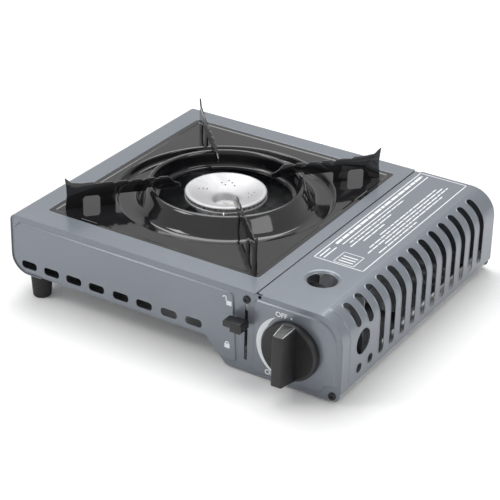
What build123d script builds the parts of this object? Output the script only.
"""Portable camping stove with a canister bay, built as an assembly of separate pieces.

Frame: +X points to the canister side, +Y to the back, +Z up.  The origin is on the ground under the
middle of the stove.
"""
import os
from math import atan2, cos, degrees, radians, sin

from build123d import *

os.makedirs("parts", exist_ok=True)

# ---------------------------------------------------------------- driving dimensions
HALF_WIDTH = 170.0          # body half width along X
FRONT_Y = -130.0            # front face of the pressed fields
REAR_Y = 156.0              # rear face of the pressed fields
TOP_Z = 80.0                # top face of the body
SHEET = 0.8                 # sheet steel thickness
FIELD_DEPTH = 1.5           # how far the pressed fields stand out of their flange
SHELL_BOTTOM_Z = 23.0       # underside of the raised left part
TRAY_BOTTOM_Z = 2.2         # underside of the canister tray
SHELL_TOP_RADIUS = 6.0
SHELL_BOTTOM_RADIUS = 18.0
SHELL_EDGE_X = 86.2         # right edge of the top plate at the seam
COVER_EDGE_X = 87.6         # left edge of the canister cover at the seam
COVER_RADIUS = 25.0
COVER_BOTTOM_Z = 11.0
COVER_GAP = 0.6             # space between the cover and the panels it closes over
HINGE_X = 90.0
HINGE_Z = 77.0
HINGE_PIN_RADIUS = 1.5
RUNNING_CLEARANCE = 0.05

BURNER_X = -36.0
BURNER_Y = 16.0
OPENING_X = (-147.0, 75.0)
OPENING_Y = (-106.4, 137.0)
LEDGE_WIDTH = 8.0
LEDGE_Z = 78.2              # top of the ledge the pan rests on
PAN_Z = LEDGE_Z + SHEET     # top of the flat of the pan
PAN_GAP = 0.8
PAN_BORDER = 5.0
PAN_BORDER_RISE = 0.6
WELL_RADIUS = 101.0
WELL_FLOOR_Z = 72.0
WIND_RING_Z = 90.0
SUPPORT_SHEET = 1.5
SUPPORT_DIRECTION = degrees(atan2(117.0, 108.0))

KNOB_X = 123.0
KNOB_Z = 39.0
KNOB_RADIUS = 26.5
KNOB_BACK_Y = -130.6
KNOB_DISC = 6.4
KNOB_FRONT_Y = -155.0
SPINDLE_RADIUS = 4.0
CAM_Y = -122.7
CAM_THICK = 3.0
CAM_START = 8.0
CAM_RISE = 5.0
CAM_TURN = 147.0

LEVER_X = 77.5
LEVER_THICK = 1.4
LEVER_PIVOT_Y = -66.0
LEVER_PIVOT_Z = 35.0
LEVER_HALF_SWING = 12.2     # degrees either side of level
LEVER_KNOB_Y = -138.0
DRIVE_ARM = 14.0
ARM_HALF_HEIGHT = 2.6
DRIVE_PIN_RADIUS = 2.0
MOVING_GAP = 0.3
PUSHER_TRAVEL = 5.92

DIVIDER_X = 82.0
CANISTER_X = 127.0
CANISTER_Z = 41.0
CANISTER_RADIUS = 34.0
BORE_RADIUS = 2.2
BLOCK_TOP_Z = 56.0
BLOCK_BACK_Y = -72.0
CAP_X = 121.0
CAP_Y = -89.0
TUBE_Z = 52.0
PIPE_RADIUS = 2.5
SLOT_PITCH = 19.03
SLOT_COUNT = 13
SLOT_WIDTH = 8.5
SLOT_FIRST_Y = -101.6

FLANGE_FRONT_Y = FRONT_Y + FIELD_DEPTH
PANEL_BACK_Y = FLANGE_FRONT_Y + SHEET
FLANGE_REAR_Y = REAR_Y - FIELD_DEPTH
REAR_PANEL_INNER_Y = FLANGE_REAR_Y - SHEET
SHELL_FRONT_Y = FRONT_Y + 0.5
SHELL_REAR_Y = REAR_Y - 0.5
TRAY_LEFT_Z = SHELL_BOTTOM_Z + SHEET
TRAY_TOP_LEFT = TRAY_LEFT_Z + SHEET
TRAY_TOP_RIGHT = TRAY_BOTTOM_Z + SHEET
UNDER_TOP_Z = TOP_Z - SHEET

BURNER_AXIS = Axis((BURNER_X, BURNER_Y, 0), (0, 0, 1))
FOOT_PLACES = ((-146.0, -118.0), (-146.0, 144.0))
FOOT_STEM_RADIUS = 3.0
PAD_PLACES = ((148.0, -112.0), (148.0, 138.0))
PAD_STEM_RADIUS = 3.0
TRAY_STEP_TOP_X = 37.0
TRAY_STEP_FOOT_X = 57.0
TRAY_RIGHT_X = 166.0
TRAY_UPSTAND_Z = 25.0
FRONT_SCREWS = ((77.6, 71.2), (161.6, 7.0))
REAR_SCREWS = FRONT_SCREWS
SCREW_HOLE = 2.0
BASE_SCREWS = ((-70.0, BURNER_Y), (-2.0, BURNER_Y))
PANEL_CORNER_RADIUS = COVER_RADIUS - SHEET - COVER_GAP
COVER_INNER_X = HALF_WIDTH - SHEET
COVER_INNER_Z = TOP_Z - SHEET
VENT_Z = 33.4
VENT_X = (-149.8, -125.0, -100.6, -75.8, -49.9, -25.1, 0.7, 26.1)
INLET_FACE_Y = -60.0
INLET_RADIUS = 12.0
FINGER_Y = -96.0
FINGER_Z = 46.5
FINGER_RADIUS = 11.5
SIGHT_X = 119.3
SIGHT_Y = -76.9
SIGHT_RADIUS = 13.0
MOUNT_SCREWS = ((KNOB_X - 19, KNOB_Z), (KNOB_X + 19, KNOB_Z))
CAP_RADIUS = 19.0
CAP_SCREWS = tuple((CAP_X + 16 * cos(radians(a)), CAP_Y + 16 * sin(radians(a))) for a in (45, 135, 225, 315))
BODY_FLOOR_Z = 42.0
HEAD_RADIUS = 37.8
CAP_FLOOR_Z = 65.5
CAP_SCREW_HEAD = 1.6
BRACKET_TOP_SCREWS = ((BURNER_X - 12, BURNER_Y), (BURNER_X + 12, BURNER_Y))
BLOCK_BOTTOM_Z = 15.0
BLOCK_FRONT_Y = -108.0
SPINDLE_BACK_Y = -90.0
SEAL_OUTER = 6.0
SEAL_DEPTH = 2.5
PIPE_Y = -90.0
PIPE_LOW_Z = 20.0
PIPE_X = 68.0
ELECTRODE_ANGLE = -60.0
ELECTRODE_RADIUS = 44.0
ELECTRODE_X = BURNER_X + ELECTRODE_RADIUS * cos(radians(ELECTRODE_ANGLE))
ELECTRODE_Y = BURNER_Y + ELECTRODE_RADIUS * sin(radians(ELECTRODE_ANGLE))
PLUNGER_RADIUS = 2.0
PLUNGER_REST_Z = KNOB_Z + CAM_START + MOVING_GAP
IGNITER_LOW_Z = 56.0
IGNITER_TOP_Z = 77.0
IGNITER_BORE_TOP_Z = 73.0
PLUNGER_TOP_Z = 66.0
LEAD_RADIUS = 1.2
LEAD_Z = 70.0
STUD_PLACES = ((-77.0, LEVER_PIVOT_Z + DRIVE_ARM), (-50.0, LEVER_PIVOT_Z + DRIVE_ARM))
STUD_RADIUS = 1.8
PUSHER_X = 84.0
PUSHER_THICK = 1.2


# ---------------------------------------------------------------- helpers
def facing_front(y):
    """Sketch plane across the stove at the given Y; extruding goes towards the front."""
    return Plane.XZ.offset(-y)


def facing_right(x):
    """Sketch plane along the stove at the given X; extruding goes towards +X."""
    return Plane.YZ.offset(x)


def burner_section(angle=0.0):
    """Radial sketch plane through the burner axis: local x is the radius, local y is the height."""
    turn = radians(angle)
    return Plane(origin=(BURNER_X, BURNER_Y, 0), x_dir=(cos(turn), sin(turn), 0),
                 z_dir=(sin(turn), -cos(turn), 0))


def save(builder, name):
    """Label one finished piece and write it out."""
    builder.part.label = name
    export_step(builder.part, f"parts/{name}.step")


def arc_points(radius, start, end, steps, x=0.0, z=0.0):
    """Points along a circular arc, angles in degrees."""
    turn = [radians(start + (end - start) * i / steps) for i in range(steps + 1)]
    return [(x + radius * cos(a), z + radius * sin(a)) for a in turn]


# ---------------------------------------------------------------- body shell
def body_shell():
    half = SHEET / 2
    with BuildPart() as shell:
        with BuildSketch(facing_front(SHELL_REAR_Y)):
            with BuildLine():
                FilletPolyline((SHELL_EDGE_X, TOP_Z - half), (-HALF_WIDTH + half, TOP_Z - half),
                               (-HALF_WIDTH + half, SHELL_BOTTOM_Z + half),
                               (-138, SHELL_BOTTOM_Z + half),
                               radius=(SHELL_TOP_RADIUS - half, SHELL_BOTTOM_RADIUS - half))
            trace(line_width=SHEET)
        extrude(amount=SHELL_REAR_Y - SHELL_FRONT_Y)
        middle_x = sum(OPENING_X) / 2
        middle_y = sum(OPENING_Y) / 2
        long_x = OPENING_X[1] - OPENING_X[0]
        long_y = OPENING_Y[1] - OPENING_Y[0]
        with BuildSketch(Plane.XY.offset(LEDGE_Z - SHEET)):
            with Locations((middle_x, middle_y)):
                RectangleRounded(long_x + 2 * SHEET, long_y + 2 * SHEET, 5.0)
        extrude(amount=UNDER_TOP_Z - LEDGE_Z + SHEET)
        with BuildSketch(Plane.XY.offset(LEDGE_Z)):
            with Locations((middle_x, middle_y)):
                RectangleRounded(long_x, long_y, 4.2)
        extrude(amount=5, mode=Mode.SUBTRACT)
        with BuildSketch(Plane.XY.offset(LEDGE_Z - 2)):
            with Locations((middle_x, middle_y)):
                RectangleRounded(long_x - 2 * LEDGE_WIDTH, long_y - 2 * LEDGE_WIDTH, 6.0)
        extrude(amount=5, mode=Mode.SUBTRACT)
        with BuildSketch(Plane.XY.offset(SHELL_BOTTOM_Z - 1)):
            with Locations(*[(x, y) for x, y in FOOT_PLACES]):
                Circle(FOOT_STEM_RADIUS + 0.1)
        extrude(amount=3, mode=Mode.SUBTRACT)
    save(shell, "body_shell")


# ---------------------------------------------------------------- base tray


def base_tray():
    half = SHEET / 2
    with BuildPart() as tray:
        with BuildSketch(facing_front(REAR_PANEL_INNER_Y)):
            with BuildLine():
                FilletPolyline((-150, TRAY_LEFT_Z + half), (TRAY_STEP_TOP_X, TRAY_LEFT_Z + half),
                               (TRAY_STEP_FOOT_X, TRAY_BOTTOM_Z + half),
                               (TRAY_RIGHT_X - half, TRAY_BOTTOM_Z + half),
                               (TRAY_RIGHT_X - half, TRAY_UPSTAND_Z), radius=(1.5, 1.5, 1.5))
            trace(line_width=SHEET)
        extrude(amount=REAR_PANEL_INNER_Y - PANEL_BACK_Y)
        # corner tabs that the panel screws bite into
        for back_y in (PANEL_BACK_Y + SHEET, REAR_PANEL_INNER_Y):
            with BuildSketch(facing_front(back_y)):
                with BuildLine():
                    Polyline((152, TRAY_TOP_RIGHT), (165.2, TRAY_TOP_RIGHT), (165.2, 14), (152, 14), close=True)
                make_face()
            extrude(amount=SHEET)
        for x, z in (FRONT_SCREWS[1],):
            with BuildSketch(facing_front(REAR_Y)):
                with Locations((x, z)):
                    Circle(SCREW_HOLE)
            extrude(amount=REAR_Y - FRONT_Y, mode=Mode.SUBTRACT)
        # breathing slots under the burner and along the canister
        with BuildSketch(Plane.XY):
            with Locations((BURNER_X - 60, BURNER_Y), (BURNER_X + 56, BURNER_Y)):
                with GridLocations(1, 26, 1, 5):
                    SlotOverall(26, 6)
            with Locations((128, 110)):
                with GridLocations(1, 16, 1, 3):
                    SlotOverall(34, 6)
        extrude(amount=TRAY_TOP_LEFT + 2, mode=Mode.SUBTRACT)
        with BuildSketch(Plane.XY):
            with Locations(*FOOT_PLACES):
                Circle(FOOT_STEM_RADIUS + 0.1)
            with Locations(*PAD_PLACES):
                Circle(PAD_STEM_RADIUS + 0.1)
            with Locations(*BASE_SCREWS):
                Circle(SCREW_HOLE)
        extrude(amount=TRAY_TOP_LEFT + 2, mode=Mode.SUBTRACT)
    save(tray, "base_tray")


# ---------------------------------------------------------------- front and rear panels


def panel_outline():
    """Outline shared by the front and rear panels, just inside the shell and the cover."""
    right = COVER_INNER_X - COVER_GAP
    top = COVER_INNER_Z - COVER_GAP
    with BuildSketch(mode=Mode.PRIVATE) as outline:
        with BuildLine():
            FilletPolyline((-60, UNDER_TOP_Z), (-HALF_WIDTH + SHEET, UNDER_TOP_Z),
                           (-HALF_WIDTH + SHEET, TRAY_LEFT_Z), (37.3, TRAY_LEFT_Z), (57.8, TRAY_BOTTOM_Z),
                           (right, TRAY_BOTTOM_Z), (right, top), (87.0, top), (SHELL_EDGE_X, UNDER_TOP_Z),
                           radius=(SHELL_TOP_RADIUS - SHEET, SHELL_BOTTOM_RADIUS - SHEET, 2, 2, 6,
                                   PANEL_CORNER_RADIUS, 0.3))
            Line((SHELL_EDGE_X, UNDER_TOP_Z), (-60, UNDER_TOP_Z))
        make_face()
    return outline.sketch


def left_field(inset):
    """Outline of the raised field on the burner side, moved inwards by the inset."""
    with BuildSketch(mode=Mode.PRIVATE) as field:
        with BuildLine():
            Polyline((-160, 73.5), (-165.5, 68), (-166.5, 58), (-166, 44), (-163.8, 33.5), (-154, 25.3),
                     (36.6, 25.3), (54, 7.5), (69.5, 7.5), (65.4, 73.5), close=True)
        make_face()
        fillet([v for v in field.vertices() if v.X > 0 or v.Z > 70], 2.5)
        if inset:
            offset(amount=-inset, kind=Kind.INTERSECTION)
    return field.sketch


def right_field(inset):
    """Outline of the raised field round the knob, moved inwards by the inset."""
    with BuildSketch(mode=Mode.PRIVATE) as field:
        with BuildLine():
            Polyline((85, 6), (164, 6), (164, 74.5), (85, 74.5), close=True)
        make_face()
        fillet(field.vertices().sort_by_distance((164, 74.5))[0], 21)
        fillet(field.vertices().sort_by_distance((85, 40))[:2], 2.5)
        with Locations(FRONT_SCREWS[1]):
            Circle(7.0, mode=Mode.SUBTRACT)
        if inset:
            offset(amount=-inset, kind=Kind.INTERSECTION)
    return field.sketch


def pressed_panel(flange_y, outward):
    """Flange with both fields raised; outward is -1 for the front panel and +1 for the rear one."""
    inner_y = flange_y - outward * SHEET
    with BuildPart(mode=Mode.PRIVATE) as plate:
        with BuildSketch(facing_front(inner_y)):
            add(panel_outline())
        extrude(amount=-outward * SHEET)
        with BuildSketch(facing_front(flange_y)):
            add(left_field(0))
            add(right_field(0))
        extrude(amount=-outward * FIELD_DEPTH)
        with BuildSketch(facing_front(inner_y)):
            add(left_field(SHEET))
            add(right_field(SHEET))
        extrude(amount=-outward * FIELD_DEPTH, mode=Mode.SUBTRACT)
    return plate.part


def front_panel():
    with BuildPart() as panel:
        add(pressed_panel(FLANGE_FRONT_Y, -1))
        with BuildSketch(facing_front(0)):
            for x in VENT_X:
                with Locations((x, VENT_Z)):
                    RectangleRounded(16.5, 7.5, 3.0)
            with Locations((LEVER_X, 40.5)):
                SlotOverall(55, 3.0, rotation=90)
            with Locations(*FRONT_SCREWS):
                Circle(SCREW_HOLE)
            with Locations((KNOB_X, KNOB_Z)):
                Circle(SPINDLE_RADIUS + 2.0)
            with Locations(*MOUNT_SCREWS):
                Circle(SCREW_HOLE)
            with Locations((HINGE_X, HINGE_Z)):
                Circle(HINGE_PIN_RADIUS)
        extrude(amount=REAR_Y - FRONT_Y, mode=Mode.SUBTRACT)
    save(panel, "front_panel")


def rear_panel():
    with BuildPart() as panel:
        add(pressed_panel(FLANGE_REAR_Y, 1))
        with BuildSketch(facing_front(REAR_Y + 1)):
            for x in VENT_X[::2]:
                with Locations((x + 12, 60.0)):
                    SlotOverall(34, 6)
            with Locations(*REAR_SCREWS):
                Circle(SCREW_HOLE)
            with Locations((HINGE_X, HINGE_Z)):
                Circle(HINGE_PIN_RADIUS)
        extrude(amount=FIELD_DEPTH + SHEET + 2, mode=Mode.SUBTRACT)
    save(panel, "rear_panel")


# ---------------------------------------------------------------- divider between burner and canister
def divider_wall():
    back = REAR_PANEL_INNER_Y
    with BuildPart() as wall:
        with BuildSketch(facing_front(back)):
            with BuildLine():
                Polyline((77.0, UNDER_TOP_Z), (DIVIDER_X + SHEET, UNDER_TOP_Z),
                         (DIVIDER_X + SHEET, TRAY_TOP_RIGHT + SHEET), (90, TRAY_TOP_RIGHT + SHEET),
                         (90, TRAY_TOP_RIGHT), (DIVIDER_X, TRAY_TOP_RIGHT),
                         (DIVIDER_X, UNDER_TOP_Z - SHEET), (77.0, UNDER_TOP_Z - SHEET), close=True)
            make_face()
        extrude(amount=back - PANEL_BACK_Y)
        # turned ends that take the upper panel screws
        for end_y in (PANEL_BACK_Y + SHEET, back):
            with BuildSketch(facing_front(end_y)):
                with Locations((76.4, 69.6)):
                    Rectangle(12.8, 19.2)
            extrude(amount=SHEET)
        with BuildSketch(facing_front(REAR_Y)):
            with Locations(FRONT_SCREWS[0]):
                Circle(SCREW_HOLE)
        extrude(amount=REAR_Y - FRONT_Y, mode=Mode.SUBTRACT)
        with BuildSketch(facing_right(DIVIDER_X - 1)):
            with Locations((-90, 20)):
                Circle(PIPE_RADIUS + 1.0)
            with Locations((LEVER_PIVOT_Y, LEVER_PIVOT_Z)):
                Circle(2.5)
            with Locations((LEVER_PIVOT_Y, LEVER_PIVOT_Z + DRIVE_ARM)):
                SlotOverall(14, 7)
            with Locations((CAM_Y, 70)):
                Circle(2.4)
            with Locations(*STUD_PLACES):
                Circle(1.2)
            with Locations((50, 62)):
                with GridLocations(30, 1, 5, 1):
                    SlotOverall(20, 6)
        extrude(amount=SHEET + 2, mode=Mode.SUBTRACT)
    save(wall, "divider_wall")


# ---------------------------------------------------------------- canister bay
def canister_cradle():
    """Bent saddle that the canister lies on."""
    foot_x, half_angle = 30.0, 35.0
    radius = CANISTER_RADIUS + 1.0
    arc = arc_points(radius, -90 - half_angle, -90 + half_angle, 2, CANISTER_X, CANISTER_Z)
    floor_z = TRAY_TOP_RIGHT + SHEET / 2
    with BuildPart() as cradle:
        with BuildSketch(facing_front(62)):
            with BuildLine():
                Polyline((CANISTER_X - foot_x, floor_z), (arc[0][0], floor_z), arc[0])
                ThreePointArc(*arc)
                Polyline(arc[2], (arc[2][0], floor_z), (CANISTER_X + foot_x, floor_z))
            trace(line_width=SHEET)
        extrude(amount=42)
    save(cradle, "canister_cradle")


def canister_guide():
    """Upright plate round the inlet, with the tab that enters the notch of the canister collar."""
    with BuildPart() as guide:
        with BuildSketch(facing_front(-65.0)):
            with Locations((CANISTER_X, CANISTER_Z - 6)):
                RectangleRounded(54, 64 - 0.1, 3)
            with Locations((CANISTER_X, CANISTER_Z)):
                Circle(INLET_RADIUS + 0.1, mode=Mode.SUBTRACT)
        extrude(amount=1.2)
        with BuildSketch(facing_front(-58.0)):
            with Locations((CANISTER_X, CANISTER_Z + 22)):
                Rectangle(8, 1.2)
        extrude(amount=7.1)
        with BuildSketch(Plane.XY.offset(TRAY_TOP_RIGHT)):
            with Locations((CANISTER_X, -60.6)):
                Rectangle(54, 10)
        extrude(amount=SHEET)
    save(guide, "canister_guide")


# ---------------------------------------------------------------- feet, pads and screws
def turned(name, profile, x, y):
    """Solid of revolution about a vertical line; profile points are (radius, height)."""
    with BuildPart() as piece:
        with BuildSketch(Plane(origin=(x, y, 0), x_dir=(1, 0, 0), z_dir=(0, -1, 0))):
            with BuildLine():
                Polyline(*profile, close=True)
            make_face()
        revolve(axis=Axis((x, y, 0), (0, 0, 1)))
    save(piece, name)


def feet():
    foot = ((0, 0), (7.8, 0), (8.5, 0.7), (10, SHELL_BOTTOM_Z), (FOOT_STEM_RADIUS, SHELL_BOTTOM_Z),
            (FOOT_STEM_RADIUS, TRAY_TOP_LEFT), (4.2, TRAY_TOP_LEFT), (3.2, 27.6), (0, 27.6))
    turned("foot_front_left", foot, *FOOT_PLACES[0])
    turned("foot_rear_left", foot, *FOOT_PLACES[1])
    pad = ((0, 0), (7.4, 0), (8, 0.6), (8, TRAY_BOTTOM_Z), (PAD_STEM_RADIUS, TRAY_BOTTOM_Z),
           (PAD_STEM_RADIUS, TRAY_TOP_RIGHT), (4.2, TRAY_TOP_RIGHT), (3.4, 4.4), (0, 4.4))
    turned("pad_front_right", pad, *PAD_PLACES[0])
    turned("pad_rear_right", pad, *PAD_PLACES[1])


def screw_group(name, places, head_plane, length, shank=1.9, head=3.4, head_high=1.8):
    """Pan-head screws with a cross recess; the plane normal points out of the seat under the heads."""
    with BuildPart() as screws:
        with BuildSketch(head_plane):
            with Locations(*places):
                Circle(head)
        extrude(amount=head_high)
        fillet(screws.faces().sort_by(Axis(head_plane.origin, head_plane.z_dir))[-len(places):].edges(), 0.9)
        with BuildSketch(head_plane.offset(head_high)):
            with Locations(*places):
                Rectangle(head * 1.1, 0.7)
                Rectangle(0.7, head * 1.1)
        extrude(amount=-1.0, mode=Mode.SUBTRACT)
        with BuildSketch(head_plane):
            with Locations(*places):
                Circle(shank)
        extrude(amount=-length)
    save(screws, name)


# ---------------------------------------------------------------- canister cover
def canister_cover():
    half = SHEET / 2
    ear_thick = 1.2
    ear_planes = (PANEL_BACK_Y + 1.2 + ear_thick, REAR_PANEL_INNER_Y - 1.2)
    with BuildPart() as cover:
        with BuildSketch(facing_front(SHELL_REAR_Y)):
            with BuildLine():
                FilletPolyline((COVER_EDGE_X, TOP_Z - half), (HALF_WIDTH - half, TOP_Z - half),
                               (HALF_WIDTH - half, COVER_BOTTOM_Z), radius=COVER_RADIUS - half)
            trace(line_width=SHEET)
        extrude(amount=SHELL_REAR_Y - SHELL_FRONT_Y)
        # corner notches that let the seam edge swing down past the panels
        for end_y in (PANEL_BACK_Y + 0.6, SHELL_REAR_Y):
            with BuildSketch(facing_front(end_y)):
                with Locations((COVER_EDGE_X, TOP_Z)):
                    Rectangle(10.4, 4)
            extrude(amount=PANEL_BACK_Y + 0.6 - SHELL_FRONT_Y, mode=Mode.SUBTRACT)
        # two hinge ears turned down under the seam edge
        for plane_y in ear_planes:
            with BuildSketch(facing_front(plane_y)):
                with BuildLine():
                    Polyline((HINGE_X - 2.4, COVER_INNER_Z), (HINGE_X - 2.4, HINGE_Z - 1.4),
                             (HINGE_X - 1.2, HINGE_Z - 3.0), (HINGE_X + 5.0, HINGE_Z - 3.0),
                             (HINGE_X + 7.5, COVER_INNER_Z), close=True)
                make_face()
                with Locations((HINGE_X, HINGE_Z)):
                    Circle(HINGE_PIN_RADIUS + RUNNING_CLEARANCE, mode=Mode.SUBTRACT)
            extrude(amount=ear_thick)
        # ventilation slots run from the curved shoulder down the side
        top_z, foot_z = 76.8, 19.0
        with BuildSketch(facing_right(149.5)):
            for index in range(SLOT_COUNT):
                y = SLOT_FIRST_Y + index * SLOT_PITCH
                low = {0: 61.0, 1: 57.5}.get(index, foot_z + SLOT_WIDTH / 2)
                with Locations((y, (top_z + low) / 2)):
                    Rectangle(SLOT_WIDTH, top_z - low)
                with Locations((y, top_z)):
                    Ellipse(SLOT_WIDTH / 2, 1.8)
                if index > 1:
                    with Locations((y, low)):
                        Circle(SLOT_WIDTH / 2)
                else:
                    with Locations((y, foot_z + 4)):
                        RectangleRounded(SLOT_WIDTH, 8, 3)
            with Locations((FINGER_Y, FINGER_Z)):
                Circle(FINGER_RADIUS)
        extrude(amount=30, mode=Mode.SUBTRACT)
        with BuildSketch(Plane.XY.offset(TOP_Z - 3)):
            with Locations((SIGHT_X, SIGHT_Y)):
                Circle(SIGHT_RADIUS)
        extrude(amount=5, mode=Mode.SUBTRACT)
    save(cover, "canister_cover")


def cover_pins():
    for name, start_y, length in (("cover_pin_front", PANEL_BACK_Y + 3.4, 4.2),
                                  ("cover_pin_rear", FLANGE_REAR_Y, 4.2)):
        with BuildPart() as pin:
            with BuildSketch(facing_front(start_y)):
                with Locations((HINGE_X, HINGE_Z)):
                    Circle(HINGE_PIN_RADIUS)
            extrude(amount=length)
        save(pin, name)


# ---------------------------------------------------------------- regulator


def regulator_body():
    with BuildPart() as body:
        with BuildSketch(Plane.XY.offset(BLOCK_BOTTOM_Z)):
            with Locations((122, (BLOCK_BACK_Y + BLOCK_FRONT_Y) / 2)):
                Rectangle(48, BLOCK_BACK_Y - BLOCK_FRONT_Y)
        extrude(amount=BLOCK_TOP_Z - BLOCK_BOTTOM_Z)
        fillet(body.edges().filter_by(Axis.Z), 4)
        with BuildSketch(facing_front(BLOCK_FRONT_Y)):
            with Locations((KNOB_X, KNOB_Z)):
                Circle(6.5)
        extrude(amount=7)
        with BuildSketch(facing_front(BLOCK_FRONT_Y)):
            with Locations(*MOUNT_SCREWS):
                Circle(4)
        extrude(amount=BLOCK_FRONT_Y - (FRONT_Y + SHEET))
        with BuildSketch(facing_front(INLET_FACE_Y)):
            with Locations((CANISTER_X, CANISTER_Z)):
                Circle(INLET_RADIUS)
        extrude(amount=INLET_FACE_Y - BLOCK_BACK_Y)
        with BuildSketch(facing_front(INLET_FACE_Y)):
            with Locations((CANISTER_X, CANISTER_Z)):
                Circle(BORE_RADIUS)
        extrude(amount=14, mode=Mode.SUBTRACT)
        with BuildSketch(facing_front(INLET_FACE_Y)):
            with Locations((CANISTER_X, CANISTER_Z)):
                Circle(SEAL_OUTER)
        extrude(amount=SEAL_DEPTH, mode=Mode.SUBTRACT)
        with BuildSketch(facing_front(SPINDLE_BACK_Y)):
            with Locations((KNOB_X, KNOB_Z)):
                Circle(SPINDLE_RADIUS + RUNNING_CLEARANCE)
        extrude(amount=30, mode=Mode.SUBTRACT)
        with BuildSketch(Plane.XY.offset(BLOCK_TOP_Z)):
            with Locations(*CAP_SCREWS):
                Circle(1.6)
        extrude(amount=-6, mode=Mode.SUBTRACT)
        with BuildSketch(facing_front(FRONT_Y)):
            with Locations(*MOUNT_SCREWS):
                Circle(SCREW_HOLE)
        extrude(amount=-12, mode=Mode.SUBTRACT)
        with BuildSketch(facing_right(90)):
            with Locations((PIPE_Y, PIPE_LOW_Z)):
                Circle(PIPE_RADIUS)
        extrude(amount=14, mode=Mode.SUBTRACT)
    save(body, "regulator_body")


def regulator_top():
    """Diaphragm, its spring and the domed cap on top of the block."""
    with BuildPart() as diaphragm:
        with BuildSketch(Plane.XY.offset(BLOCK_TOP_Z)):
            with Locations((CAP_X, CAP_Y)):
                Circle(13.4)
        extrude(amount=0.8)
        with BuildSketch(Plane.XY.offset(BLOCK_TOP_Z + 0.8)):
            with Locations((CAP_X, CAP_Y)):
                Circle(4.0)
        extrude(amount=1.0)
    save(diaphragm, "regulator_diaphragm")
    low, shelf, roof = BLOCK_TOP_Z, BLOCK_TOP_Z + 2.4, BLOCK_TOP_Z + 15
    with BuildPart() as cap:
        with BuildSketch(Plane(origin=(CAP_X, CAP_Y, 0), x_dir=(1, 0, 0), z_dir=(0, -1, 0))):
            with BuildLine():
                Polyline((13.4, low), (CAP_RADIUS, low), (CAP_RADIUS, shelf), (12.6, shelf), (11.0, roof - 1),
                         (9.5, roof), (0, roof), (0, roof - 1.6), (8.6, roof - 1.6), (9.6, low + 0.8),
                         (13.4, low + 0.8), close=True)
            make_face()
        revolve(axis=Axis((CAP_X, CAP_Y, 0), (0, 0, 1)))
        with BuildSketch(Plane.XY.offset(low)):
            with Locations(*CAP_SCREWS):
                Circle(1.7)
        extrude(amount=2.4, mode=Mode.SUBTRACT)
    save(cap, "regulator_cap")
    wire = 0.6
    coil_low, coil_high = BLOCK_TOP_Z + 0.8 + wire, roof - 1.6 - wire
    with BuildPart() as spring:
        with BuildLine():
            Helix(pitch=(coil_high - coil_low) / 4, height=coil_high - coil_low, radius=6.0,
                  center=(CAP_X, CAP_Y, coil_low))
        with BuildSketch(Plane(origin=(CAP_X + 6.0, CAP_Y, coil_low), z_dir=(0, 1, 0))):
            Circle(wire)
        sweep(is_frenet=True)
    save(spring, "regulator_spring")
    with BuildPart() as seal:
        with BuildSketch(facing_front(INLET_FACE_Y + 0.8)):
            with Locations((CANISTER_X, CANISTER_Z)):
                Circle(SEAL_OUTER)
                Circle(BORE_RADIUS + 0.2, mode=Mode.SUBTRACT)
        extrude(amount=SEAL_DEPTH + 0.8)
    save(seal, "inlet_seal")


# ---------------------------------------------------------------- gas path to the burner
def gas_pipe():
    with BuildPart() as pipe:
        with BuildLine() as path:
            FilletPolyline((102, PIPE_Y, PIPE_LOW_Z), (PIPE_X, PIPE_Y, PIPE_LOW_Z), (PIPE_X, PIPE_Y, TUBE_Z),
                           (PIPE_X, BURNER_Y, TUBE_Z), (62, BURNER_Y, TUBE_Z), radius=5.0)
        with BuildSketch(Plane(origin=(102, PIPE_Y, PIPE_LOW_Z), z_dir=(-1, 0, 0))):
            Circle(PIPE_RADIUS)
            Circle(PIPE_RADIUS - 0.8, mode=Mode.SUBTRACT)
        sweep(path=path.line)
    save(pipe, "gas_pipe")


def along_x(name, profile):
    """Solid of revolution about the mixing tube axis; profile points are (x, radius)."""
    with BuildPart() as piece:
        with BuildSketch(Plane(origin=(0, BURNER_Y, TUBE_Z), x_dir=(1, 0, 0), z_dir=(0, -1, 0))):
            with BuildLine():
                Polyline(*profile, close=True)
            make_face()
        revolve(axis=Axis((0, BURNER_Y, TUBE_Z), (1, 0, 0)))
        if name == "mixing_tube":
            with BuildSketch(Plane.XY.offset(TUBE_Z - 15)):
                with Locations((51, BURNER_Y)):
                    Rectangle(8, 8)
            extrude(amount=30, mode=Mode.SUBTRACT)
    save(piece, name)


def mixing_parts():
    jet_end = 53.0
    along_x("jet_nozzle", ((62, 0.4), (62, 5), (57, 5), (57, 3), (jet_end, 2.2), (jet_end, 0.4)))
    along_x("mixing_tube", ((-12, 6), (-12, 7), (36, 7), (43, 10), (58, 10), (58, 5.0), (57.2, 5.0), (57.2, 9.2),
                            (43.4, 9.2), (36.3, 6)))


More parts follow.
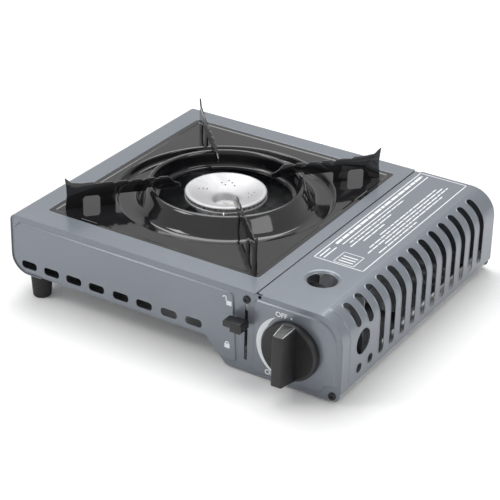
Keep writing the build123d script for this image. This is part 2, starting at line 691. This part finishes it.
def burner_parts():
    axis_plane = burner_section()
    with BuildPart() as body:
        with BuildSketch(axis_plane):
            with BuildLine():
                Polyline((0, BODY_FLOOR_Z), (20, BODY_FLOOR_Z), (25, 46), (26, 62), (34, 73.6), (HEAD_RADIUS, 74.6),
                         (HEAD_RADIUS, 77), (34, 77), (31.5, 74.8), (23.6, 64), (22.4, 48), (19, 45),
                         (0, 45), close=True)
            make_face()
        revolve(axis=BURNER_AXIS)
        with BuildSketch(facing_right(BURNER_X + 24)):
            with Locations((BURNER_Y, TUBE_Z)):
                Circle(9)
        extrude(amount=14)
        with BuildSketch(facing_right(BURNER_X + 15)):
            with Locations((BURNER_Y, TUBE_Z)):
                Circle(6)
        extrude(amount=24, mode=Mode.SUBTRACT)
        with BuildSketch(facing_right(-12)):
            with Locations((BURNER_Y, TUBE_Z)):
                Circle(7)
        extrude(amount=16, mode=Mode.SUBTRACT)
        with BuildSketch(Plane.XY.offset(BODY_FLOOR_Z)):
            with Locations(*BRACKET_TOP_SCREWS):
                Circle(SCREW_HOLE)
        extrude(amount=3, mode=Mode.SUBTRACT)
    save(body, "burner_body")
    with BuildPart() as cap:
        with BuildSketch(axis_plane):
            with BuildLine():
                Polyline((0, CAP_FLOOR_Z), (10.5, CAP_FLOOR_Z), (12, 71.5), (13.5, 72.6), (24, 77.6), (33, 81.0),
                         (35.5, 81.6), (37.2, 81.2), (HEAD_RADIUS, 80.2), (HEAD_RADIUS, 79.2), (36.6, 77),
                         (32.4, 77), (32.4, 78.8), (24, 75.9), (13.2, 70.8), (11.8, CAP_FLOOR_Z - 1.2),
                         (0, CAP_FLOOR_Z - 1.2), close=True)
            make_face()
        revolve(axis=BURNER_AXIS)
        with BuildSketch(Plane.XY.offset(77)):
            with Locations((BURNER_X, BURNER_Y)):
                with PolarLocations(35, 44):
                    Rectangle(8, 1.5)
        extrude(amount=2.0, mode=Mode.SUBTRACT)
        with BuildSketch(Plane.XY.offset(CAP_FLOOR_Z - 2.5)):
            with Locations((BURNER_X, BURNER_Y)):
                Circle(2.0)
                with PolarLocations(8, 3):
                    Circle(1.6)
        extrude(amount=4, mode=Mode.SUBTRACT)
    save(cap, "burner_cap")
    with BuildPart() as screw:
        with BuildSketch(Plane.XY.offset(CAP_FLOOR_Z)):
            with Locations((BURNER_X, BURNER_Y)):
                Circle(4)
        extrude(amount=CAP_SCREW_HEAD)
        with BuildSketch(Plane.XY.offset(CAP_FLOOR_Z + CAP_SCREW_HEAD)):
            with Locations((BURNER_X, BURNER_Y)):
                Rectangle(5, 0.8)
        extrude(amount=-0.8, mode=Mode.SUBTRACT)
        with BuildSketch(Plane.XY.offset(CAP_FLOOR_Z)):
            with Locations((BURNER_X, BURNER_Y)):
                Circle(2.0)
        extrude(amount=45 - CAP_FLOOR_Z)
    save(screw, "burner_cap_screw")
    with BuildPart() as bracket:
        foot_z, seat_z = TRAY_TOP_LEFT + SHEET / 2, BODY_FLOOR_Z - SHEET / 2
        with BuildSketch(facing_front(BURNER_Y + 13)):
            with BuildLine():
                FilletPolyline((BASE_SCREWS[0][0] - 6, foot_z), (-62, foot_z), (-55, seat_z), (-17, seat_z),
                               (-10, foot_z), (BASE_SCREWS[1][0] + 6, foot_z), radius=1.5)
            trace(line_width=SHEET)
        extrude(amount=26)
        with BuildSketch(Plane.XY.offset(TRAY_TOP_LEFT - 1)):
            with Locations(*BASE_SCREWS):
                Circle(SCREW_HOLE)
            with Locations(*BRACKET_TOP_SCREWS):
                Circle(SCREW_HOLE)
        extrude(amount=20, mode=Mode.SUBTRACT)
    save(bracket, "burner_bracket")


# ---------------------------------------------------------------- ignition


def ignition():
    with BuildPart() as body:
        with BuildSketch(Plane.XY.offset(IGNITER_LOW_Z)):
            with Locations((KNOB_X, (PANEL_BACK_Y + CAM_Y + 5) / 2)):
                Rectangle(10, CAM_Y + 5 - PANEL_BACK_Y)
        extrude(amount=IGNITER_TOP_Z - IGNITER_LOW_Z)
        chamfer(body.edges().filter_by(Axis.Z), 1.2)
        with BuildSketch(Plane.XY.offset(IGNITER_LOW_Z)):
            with Locations((KNOB_X, CAM_Y)):
                Circle(PLUNGER_RADIUS + RUNNING_CLEARANCE)
        extrude(amount=IGNITER_BORE_TOP_Z - IGNITER_LOW_Z, mode=Mode.SUBTRACT)
        with BuildSketch(facing_right(KNOB_X - 5)):
            with Locations((CAM_Y, LEAD_Z)):
                Circle(LEAD_RADIUS)
        extrude(amount=2, mode=Mode.SUBTRACT)
    save(body, "igniter_body")
    with BuildPart() as plunger:
        with BuildSketch(Plane.XY.offset(PLUNGER_REST_Z)):
            with Locations((KNOB_X, CAM_Y)):
                Circle(PLUNGER_RADIUS)
        extrude(amount=PLUNGER_TOP_Z - PLUNGER_REST_Z)
        fillet(plunger.edges().sort_by(Axis.Z)[0], 1.6)
    save(plunger, "igniter_plunger")
    route = ((KNOB_X - 3, CAM_Y, LEAD_Z), (58, CAM_Y, LEAD_Z), (58, -62, 60), (ELECTRODE_X, ELECTRODE_Y, 38),
             (ELECTRODE_X, ELECTRODE_Y, 50))
    with BuildPart() as lead:
        with BuildLine() as path:
            FilletPolyline(*route, radius=(8, 8, 5))
        with BuildSketch(Plane(origin=route[0], z_dir=(-1, 0, 0))):
            Circle(LEAD_RADIUS)
        sweep(path=path.line)
    save(lead, "igniter_lead")
    turned("electrode_insulator", ((0.8, 50), (2.6, 50), (2.6, 60), (3.6, 60.2), (3.6, 63), (2.6, 63.2), (1.9, 74),
                                   (0.8, 74)), ELECTRODE_X, ELECTRODE_Y)
    inward = (-cos(radians(ELECTRODE_ANGLE)), -sin(radians(ELECTRODE_ANGLE)), 0)
    tip = (ELECTRODE_X + 3.4 * inward[0], ELECTRODE_Y + 3.4 * inward[1], 78.2)
    with BuildPart() as wire:
        with BuildLine() as path:
            FilletPolyline((ELECTRODE_X, ELECTRODE_Y, 50), (ELECTRODE_X, ELECTRODE_Y, 78.2), tip, radius=1.6)
        with BuildSketch(Plane.XY.offset(50).move(Location((ELECTRODE_X, ELECTRODE_Y, 0)))):
            Circle(0.8)
        sweep(path=path.line)
    save(wire, "electrode_wire")
    with BuildPart() as clip:
        with BuildSketch(Plane(origin=(BURNER_X, BURNER_Y, 58.0), x_dir=(-inward[0], -inward[1], 0),
                               z_dir=(0, 0, 1))):
            with Locations((37, 0)):
                Rectangle(26, 9)
            Circle(25.9, mode=Mode.SUBTRACT)
            with Locations((ELECTRODE_RADIUS, 0)):
                Circle(2.6, mode=Mode.SUBTRACT)
        extrude(amount=1.2)
    save(clip, "electrode_clip")


# ---------------------------------------------------------------- control knob and spindle
def control_knob():
    front_of_disc = KNOB_BACK_Y - KNOB_DISC
    with BuildPart() as knob:
        with BuildSketch(Plane(origin=(KNOB_X, 0, KNOB_Z), x_dir=(1, 0, 0), z_dir=(0, 0, 1))):
            with BuildLine():
                Polyline((0, KNOB_BACK_Y), (KNOB_RADIUS, KNOB_BACK_Y), (KNOB_RADIUS - 0.4, front_of_disc + 1.0),
                         (KNOB_RADIUS - 1.4, front_of_disc), (0, front_of_disc), close=True)
            make_face()
        revolve(axis=Axis((KNOB_X, 0, KNOB_Z), (0, 1, 0)))
        # grip bar: tapering to the front, its upper end cut back to a slope
        with BuildSketch(facing_front(front_of_disc)):
            with Locations((KNOB_X, KNOB_Z)):
                Rectangle(14.4, 51)
        with BuildSketch(facing_front(KNOB_FRONT_Y)):
            with Locations((KNOB_X, KNOB_Z)):
                Rectangle(9.8, 47)
        loft()
        with BuildSketch(facing_front(KNOB_BACK_Y)):
            with Locations((KNOB_X, KNOB_Z)):
                Circle(KNOB_RADIUS - 2.2)
                Circle(7.0, mode=Mode.SUBTRACT)
        extrude(amount=KNOB_DISC - 2.0, mode=Mode.SUBTRACT)
        with BuildSketch(facing_front(KNOB_BACK_Y)):
            with Locations((KNOB_X, KNOB_Z)):
                Circle(SPINDLE_RADIUS)
        extrude(amount=14, mode=Mode.SUBTRACT)
    save(knob, "control_knob")
    with BuildPart() as spindle:
        with BuildSketch(facing_front(SPINDLE_BACK_Y - 1)):
            with Locations((KNOB_X, KNOB_Z)):
                Circle(SPINDLE_RADIUS)
        extrude(amount=SPINDLE_BACK_Y - 1 - (KNOB_BACK_Y - 13))
    save(spindle, "valve_spindle")
    # the cam radius grows evenly with the turn, so the plunger rises evenly
    steps = 14
    spiral = []
    for index in range(steps + 1):
        share = index / steps
        turn = radians(90.0 - CAM_TURN * share)
        radius = CAM_START + CAM_RISE * share
        spiral.append((KNOB_X + radius * cos(turn), KNOB_Z + radius * sin(turn)))
    with BuildPart() as cam:
        with BuildSketch(facing_front(CAM_Y + CAM_THICK / 2)):
            with BuildLine():
                Spline(*spiral)
                Line(spiral[-1], (KNOB_X - 7.0, KNOB_Z - 5.0))
                Line((KNOB_X - 7.0, KNOB_Z - 5.0), (KNOB_X - 4.0, KNOB_Z + 6.9))
                Line((KNOB_X - 4.0, KNOB_Z + 6.9), spiral[0])
            make_face()
            with Locations((KNOB_X, KNOB_Z)):
                Circle(SPINDLE_RADIUS, mode=Mode.SUBTRACT)
        extrude(amount=CAM_THICK)
    save(cam, "igniter_cam")
    with BuildPart() as clip:
        with BuildSketch(facing_front(-115.6)):
            with Locations((KNOB_X, KNOB_Z)):
                Circle(6.6)
                Circle(SPINDLE_RADIUS, mode=Mode.SUBTRACT)
        extrude(amount=0.8)
    save(clip, "spindle_clip")


# ---------------------------------------------------------------- lock lever and canister pusher


def lock_lever():
    swing = radians(LEVER_HALF_SWING)
    pivot = (LEVER_PIVOT_Y, LEVER_PIVOT_Z)
    reach = (LEVER_KNOB_Y - 4 - LEVER_PIVOT_Y) / cos(swing)
    drive = (LEVER_PIVOT_Y + DRIVE_ARM * sin(swing), LEVER_PIVOT_Z + DRIVE_ARM * cos(swing))
    left = LEVER_X - LEVER_THICK / 2
    right = left + LEVER_THICK
    with BuildPart() as lever:
        with BuildSketch(facing_right(left)):
            with Locations(pivot):
                Circle(7)
            with Locations(drive):
                Circle(4.2)
            with BuildLine():
                along = (cos(swing), -sin(swing))
                across = (sin(swing) * ARM_HALF_HEIGHT, cos(swing) * ARM_HALF_HEIGHT)
                end = (pivot[0] + reach * along[0], pivot[1] + reach * along[1])
                Polyline((pivot[0] + across[0], pivot[1] + across[1]), (end[0] + across[0], end[1] + across[1]),
                         (end[0] - across[0], end[1] - across[1]), (pivot[0] - across[0], pivot[1] - across[1]),
                         close=True)
            make_face()
            with BuildLine():
                Polyline((pivot[0] - 4, pivot[1]), (drive[0] - 4, drive[1]), (drive[0] + 4, drive[1]),
                         (pivot[0] + 4, pivot[1]), close=True)
            make_face()
            with Locations(pivot):
                Circle(2.0 + RUNNING_CLEARANCE, mode=Mode.SUBTRACT)
            with Locations(drive):
                Circle(DRIVE_PIN_RADIUS, mode=Mode.SUBTRACT)
        extrude(amount=LEVER_THICK)
    save(lever, "lock_lever")
    with BuildPart() as pin:
        with BuildSketch(facing_right(left)):
            with Locations(drive):
                Circle(DRIVE_PIN_RADIUS)
        extrude(amount=PUSHER_X + PUSHER_THICK + 0.6 - left)
    save(pin, "lever_drive_pin")
    with BuildPart() as pivot_pin:
        with BuildSketch(facing_right(DIVIDER_X + SHEET)):
            with Locations(pivot):
                Circle(2.5)
        extrude(amount=-SHEET)
        with BuildSketch(facing_right(DIVIDER_X)):
            with Locations(pivot):
                Circle(3.6)
        extrude(amount=-(DIVIDER_X - right - MOVING_GAP))
        with BuildSketch(facing_right(right + MOVING_GAP)):
            with Locations(pivot):
                Circle(2.0)
        extrude(amount=-(LEVER_THICK + 2 * MOVING_GAP))
        with BuildSketch(facing_right(left - MOVING_GAP)):
            with Locations(pivot):
                Circle(4.2)
        extrude(amount=-1.2)
    save(pivot_pin, "lever_pivot_pin")
    # finger knob: a thick pad on the right with a thinner wing on the left
    grip_back, grip_front = FRONT_Y - 2.6, LEVER_KNOB_Y - 6.5
    knob_z = LEVER_PIVOT_Z + (LEVER_PIVOT_Y - LEVER_KNOB_Y) * sin(swing) / cos(swing)
    with BuildPart() as knob:
        for x, z, width, height, radius in ((LEVER_X - 5.0, knob_z + 1.0, 18.0, 5.6, 1.4),
                                            (LEVER_X - 0.6, knob_z, 11.4, 9.0, 2.0)):
            with BuildSketch(facing_front(grip_back)):
                with Locations((x, z)):
                    RectangleRounded(width, height, radius)
            extrude(amount=grip_back - grip_front, taper=3)
        with BuildSketch(facing_right(left)):
            with BuildLine():
                Polyline((end[0] + across[0], end[1] + across[1]), (end[0] - across[0], end[1] - across[1]),
                         (pivot[0] - across[0], pivot[1] - across[1]), (pivot[0] + across[0], pivot[1] + across[1]),
                         close=True)
            make_face()
        extrude(amount=LEVER_THICK, mode=Mode.SUBTRACT)
    save(knob, "lever_knob")


def canister_pusher():
    pin_y = LEVER_PIVOT_Y + DRIVE_ARM * sin(radians(LEVER_HALF_SWING))
    slide_z = LEVER_PIVOT_Z + DRIVE_ARM
    with BuildPart() as pusher:
        with BuildSketch(facing_right(PUSHER_X)):
            with Locations((-59.5, slide_z)):
                Rectangle(46, 17)
            with Locations((pin_y, slide_z)):
                Rectangle(2 * (DRIVE_PIN_RADIUS + MOVING_GAP), 8, mode=Mode.SUBTRACT)
            for y, z in STUD_PLACES:
                with Locations((y + PUSHER_TRAVEL / 2, z)):
                    SlotOverall(PUSHER_TRAVEL + 2 * (STUD_RADIUS + MOVING_GAP), 2 * (STUD_RADIUS + MOVING_GAP),
                                mode=Mode.SUBTRACT)
        extrude(amount=PUSHER_THICK)
        with BuildSketch(facing_front(-36.5)):
            with Locations((PUSHER_X + 5.5, slide_z - 6)):
                Rectangle(11, 29)
        extrude(amount=PUSHER_THICK)
    save(pusher, "canister_pusher")
    with BuildPart() as studs:
        with BuildSketch(facing_right(DIVIDER_X)):
            with Locations(*STUD_PLACES):
                Circle(1.2)
        extrude(amount=SHEET)
        with BuildSketch(facing_right(DIVIDER_X + SHEET)):
            with Locations(*STUD_PLACES):
                Circle(STUD_RADIUS)
        extrude(amount=PUSHER_X + PUSHER_THICK + MOVING_GAP - DIVIDER_X - SHEET)
        with BuildSketch(facing_right(PUSHER_X + PUSHER_THICK + MOVING_GAP)):
            with Locations(*STUD_PLACES):
                Circle(3.2)
        extrude(amount=1.0)
    save(studs, "pusher_guide_studs")


# ---------------------------------------------------------------- drip pan and pot supports
def drip_pan():
    low = OPENING_X[0] + PAN_GAP
    size_x = OPENING_X[1] - PAN_GAP - low
    size_y = OPENING_Y[1] - OPENING_Y[0] - 2 * PAN_GAP
    middle_x = low + size_x / 2
    middle_y = sum(OPENING_Y) / 2
    half = SHEET / 2
    with BuildPart() as pan:
        with BuildSketch(Plane.XY.offset(LEDGE_Z)):
            with Locations((middle_x, middle_y)):
                RectangleRounded(size_x - 2 * PAN_BORDER, size_y - 2 * PAN_BORDER, 3.0)
        extrude(amount=SHEET)
        with BuildSketch(Plane.XY.offset(LEDGE_Z + PAN_BORDER_RISE)):
            with Locations((middle_x, middle_y)):
                RectangleRounded(size_x, size_y, 3.4)
                RectangleRounded(size_x - 2 * PAN_BORDER - 1.2, size_y - 2 * PAN_BORDER - 1.2, 3.0,
                                 mode=Mode.SUBTRACT)
        extrude(amount=SHEET)
        with BuildSketch(Plane.XY.offset(LEDGE_Z - 1)):
            with Locations((BURNER_X, BURNER_Y)):
                Circle(WELL_RADIUS + 1)
        extrude(amount=5, mode=Mode.SUBTRACT)
        floor = WELL_FLOOR_Z - half
        with BuildSketch(burner_section()):
            with BuildLine():
                FilletPolyline((WELL_RADIUS + 1.5, PAN_Z - half), (WELL_RADIUS, PAN_Z - half), (97.5, floor),
                               (82, floor), (73, 84), (70.8, WIND_RING_Z - 1), (69.2, WIND_RING_Z - half),
                               (67.2, WIND_RING_Z - 1.4), (66, 74.5), (61, 73.6),
                               radius=(0.5, 2.2, 5, 2, 1, 1, 1, 1.5))
            trace(line_width=SHEET)
        revolve(axis=BURNER_AXIS)
    save(pan, "drip_pan")


def pot_supports():
    top, notch_floor = 101.4, 100.0
    outline = [(148, PAN_Z), (146.5, 92), (147, 100), (148, 109), (145, 106.6), (142, 103.5), (134, 102.3),
               (122.7, 102.3), (119.5, 100.7), (112, top), (105, top)]
    for radius in (102.7, 89.5, 76.9, 64.2):
        outline += [(radius + 2.2, top), (radius + 1.6, notch_floor), (radius - 1.6, notch_floor),
                    (radius - 2.2, top)]
    outline += [(60.7, top), (54, 101.2), (48.6, 95.5), (42.5, 93), (42, 90), (43, 89.0), (64, 89.0), (65, 91.8),
                (73.5, 91.8), (74.5, 89.0), (101, 89.0), (102.5, 87.5), (102.5, PAN_Z), (116.5, PAN_Z),
                (116.5, 87.0), (118.5, 89.3), (130, 89.3), (132, 87.0), (132, PAN_Z)]
    names = {SUPPORT_DIRECTION: "pot_support_rear_right", 180 - SUPPORT_DIRECTION: "pot_support_rear_left",
             180 + SUPPORT_DIRECTION: "pot_support_front_left", -SUPPORT_DIRECTION: "pot_support_front_right"}
    for angle, name in names.items():
        with BuildPart() as support:
            with BuildSketch(burner_section(angle)):
                with BuildLine():
                    Polyline(*outline, close=True)
                make_face()
            extrude(amount=SUPPORT_SHEET / 2, both=True)
        save(support, name)


# ---------------------------------------------------------------- build everything
def all_screws():
    screw_group("front_panel_screws", FRONT_SCREWS, facing_front(FLANGE_FRONT_Y), 4.5)
    rear_seat = Plane(origin=(0, FLANGE_REAR_Y, 0), x_dir=(-1, 0, 0), z_dir=(0, 1, 0))
    screw_group("rear_panel_screws", [(-x, z) for x, z in REAR_SCREWS], rear_seat, 4.5)
    screw_group("regulator_mount_screws", MOUNT_SCREWS, facing_front(FRONT_Y), 8, head_high=1.6)
    screw_group("regulator_cap_screws", CAP_SCREWS, Plane.XY.offset(BLOCK_TOP_Z + 2.4), 7, 1.5, 2.4, 1.4)
    under_tray = Plane(origin=(0, 0, TRAY_LEFT_Z), x_dir=(1, 0, 0), z_dir=(0, 0, -1))
    screw_group("burner_base_screws", [(x, -y) for x, y in BASE_SCREWS], under_tray, 4.5)
    under_seat = Plane(origin=(0, 0, BODY_FLOOR_Z - SHEET), x_dir=(1, 0, 0), z_dir=(0, 0, -1))
    screw_group("burner_seat_screws", [(x, -y) for x, y in BRACKET_TOP_SCREWS], under_seat, 3.6)


body_shell()
base_tray()
front_panel()
rear_panel()
divider_wall()
canister_cradle()
canister_guide()
feet()
canister_cover()
cover_pins()
regulator_body()
regulator_top()
gas_pipe()
mixing_parts()
burner_parts()
ignition()
control_knob()
lock_lever()
canister_pusher()
drip_pan()
pot_supports()
all_screws()
